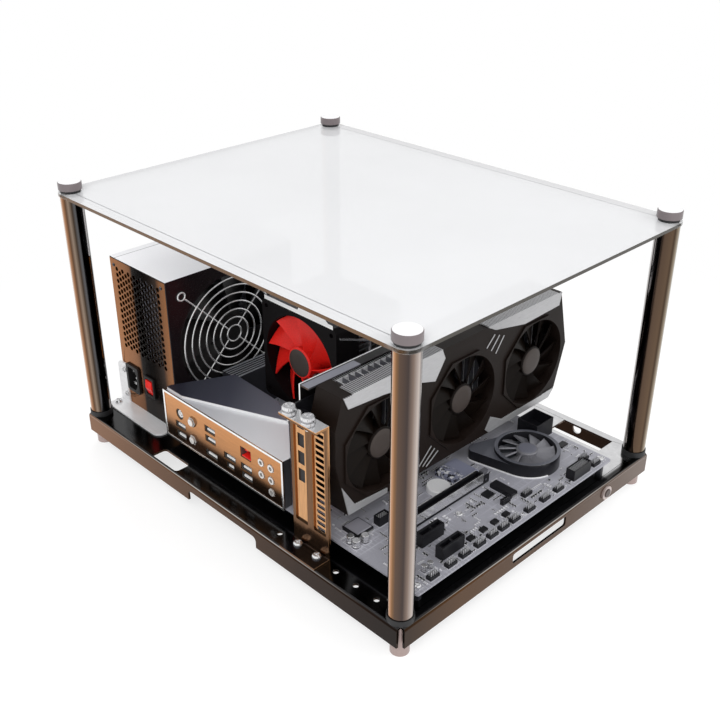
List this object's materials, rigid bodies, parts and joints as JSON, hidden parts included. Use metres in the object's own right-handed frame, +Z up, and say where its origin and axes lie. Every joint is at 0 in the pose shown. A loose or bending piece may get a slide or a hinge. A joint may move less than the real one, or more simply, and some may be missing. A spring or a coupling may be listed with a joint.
{
  "type": "open air test bench",
  "caption": "Open air computer test bench: folded tray on feet, posts and a clear top plate round a mainboard, tower cooler, power supply and graphics card.",
  "frame": {"origin": "centre of the footprint, at the bottom of the feet", "axes": "+Z up, +Y from the graphics card's side to the power supply's, -X towards the port panel"},
  "size_m": [0.32, 0.4126, 0.256],
  "materials": {
    "black_gloss_metal": "gloss",
    "polished_post": "polished",
    "satin_silver": "satin",
    "foot_silver": "satin",
    "black_rubber": "matte",
    "clear_plate": "gloss",
    "button_steel": "satin",
    "screw_steel": "satin",
    "brass": "satin",
    "board_grey": "satin",
    "warm_steel": "polished",
    "port_black": "satin",
    "cover_grey": "satin",
    "dark_metal": "satin",
    "fin_metal": "bright",
    "pipe_metal": "satin",
    "fan_red": "gloss",
    "fan_black": "satin",
    "slot_black": "satin",
    "latch_grey": "satin",
    "module_grey": "satin",
    "psu_black": "satin",
    "psu_grey": "satin",
    "wire_steel": "polished",
    "bracket_grey": "satin",
    "trim_silver": "satin",
    "shroud_black": "satin"
  },
  "bodies": {
    "bench": {"base_tray": "black_gloss_metal", "feet": "foot_silver", "posts": "polished_post", "post_collars": "black_rubber", "top_plate": "clear_plate", "plate_washers": "black_rubber", "plate_caps": "satin_silver", "power_button_body": "button_steel", "standoffs": "brass", "motherboard": "board_grey", "board_screws": "screw_steel", "io_shield": "warm_steel", "io_cover": "cover_grey", "io_ports": "port_black", "io_round_ports": "port_black", "vrm_heatsink": "dark_metal", "cpu_socket": "bracket_grey", "cooler_base": "fin_metal", "heat_pipes": "pipe_metal", "cooler_fins": "fin_metal", "cooler_top": "dark_metal", "cpu_fan_frame": "fan_black", "fan_clips": "screw_steel", "memory_slots": "slot_black", "memory_modules": "module_grey", "pcie_slots": "slot_black", "chipset_cover": "dark_metal", "storage_cover": "cover_grey", "coin_battery": "screw_steel", "board_connectors": "slot_black", "board_chips": "slot_black", "psu_case": "psu_black", "psu_cover": "psu_grey", "psu_fan_frame": "fan_black", "psu_grille": "wire_steel", "power_inlet": "port_black", "switch_frame": "port_black", "psu_circuit_board": "board_grey", "psu_bracket": "bracket_grey", "gpu_circuit_board": "slot_black", "gpu_backplate": "trim_silver", "gpu_heatsink": "fin_metal", "gpu_shroud": "shroud_black", "gpu_trim": "trim_silver", "gpu_bracket": "warm_steel", "card_holder": "black_gloss_metal", "thumbscrews": "dark_metal", "bench_screws": "screw_steel"},
    "cpu_fan": {"cpu_fan_rotor": "fan_red"},
    "psu_fan": {"psu_fan_rotor": "fan_black"},
    "chipset_fan": {"chipset_fan_rotor": "fan_black"},
    "card_fan_1": {"gpu_fan_1": "fan_black"},
    "card_fan_2": {"gpu_fan_2": "fan_black"},
    "card_fan_3": {"gpu_fan_3": "fan_black"},
    "rocker": {"power_switch": "fan_red"},
    "button": {"power_button": "satin_silver"},
    "card_latch_1": {"pcie_latch_1": "latch_grey"},
    "card_latch_2": {"pcie_latch_2": "latch_grey"},
    "module_latch_1": {"memory_latch_1": "latch_grey"},
    "module_latch_2": {"memory_latch_2": "latch_grey"}
  },
  "joints": [
    {"name": "cpu_fan_spin", "type": "hinge", "parent": "bench", "child": "cpu_fan", "pos_m": [-0.05, 0.0095, 0.1211], "axis": [1, 0, 0], "continuous": true},
    {"name": "psu_fan_spin", "type": "hinge", "parent": "bench", "child": "psu_fan", "pos_m": [-0.05305, 0.125, 0.1105], "axis": [0, 1, 0], "continuous": true},
    {"name": "chipset_fan_spin", "type": "hinge", "parent": "bench", "child": "chipset_fan", "pos_m": [0.0579, -0.1441, 0.05], "axis": [0, 0, 1], "continuous": true},
    {"name": "card_fan_1_spin", "type": "hinge", "parent": "bench", "child": "card_fan_1", "pos_m": [-0.0845, -0.1, 0.107], "axis": [0, 1, 0], "continuous": true},
    {"name": "card_fan_2_spin", "type": "hinge", "parent": "bench", "child": "card_fan_2", "pos_m": [0.00875, -0.1, 0.107], "axis": [0, 1, 0], "continuous": true},
    {"name": "card_fan_3_spin", "type": "hinge", "parent": "bench", "child": "card_fan_3", "pos_m": [0.102, -0.1, 0.107], "axis": [0, 1, 0], "continuous": true},
    {"name": "power_switch_rock", "type": "hinge", "parent": "bench", "child": "rocker", "pos_m": [-0.11705, 0.153, 0.0625], "axis": [0, 1, 0], "range_deg": [0, 16]},
    {"name": "power_button_press", "type": "slide", "parent": "bench", "child": "button", "axis": [0, 1, 0], "range_m": [0, 0.001], "stiffness_N_per_m": 500},
    {"name": "card_latch_1_turn", "type": "hinge", "parent": "bench", "child": "card_latch_1", "pos_m": [0.0065, -0.0771, 0.0451], "axis": [0, 1, 0], "range_deg": [0, 25]},
    {"name": "card_latch_2_turn", "type": "hinge", "parent": "bench", "child": "card_latch_2", "pos_m": [0.0065, -0.13806, 0.0451], "axis": [0, 1, 0], "range_deg": [0, 25]},
    {"name": "module_latch_1_turn", "type": "hinge", "parent": "bench", "child": "module_latch_1", "pos_m": [0.037, 0.0983, 0.0451], "axis": [-1, 0, 0], "range_deg": [0, 25]},
    {"name": "module_latch_2_turn", "type": "hinge", "parent": "bench", "child": "module_latch_2", "pos_m": [0.057, 0.0983, 0.0451], "axis": [-1, 0, 0], "range_deg": [0, 25]}
  ]
}
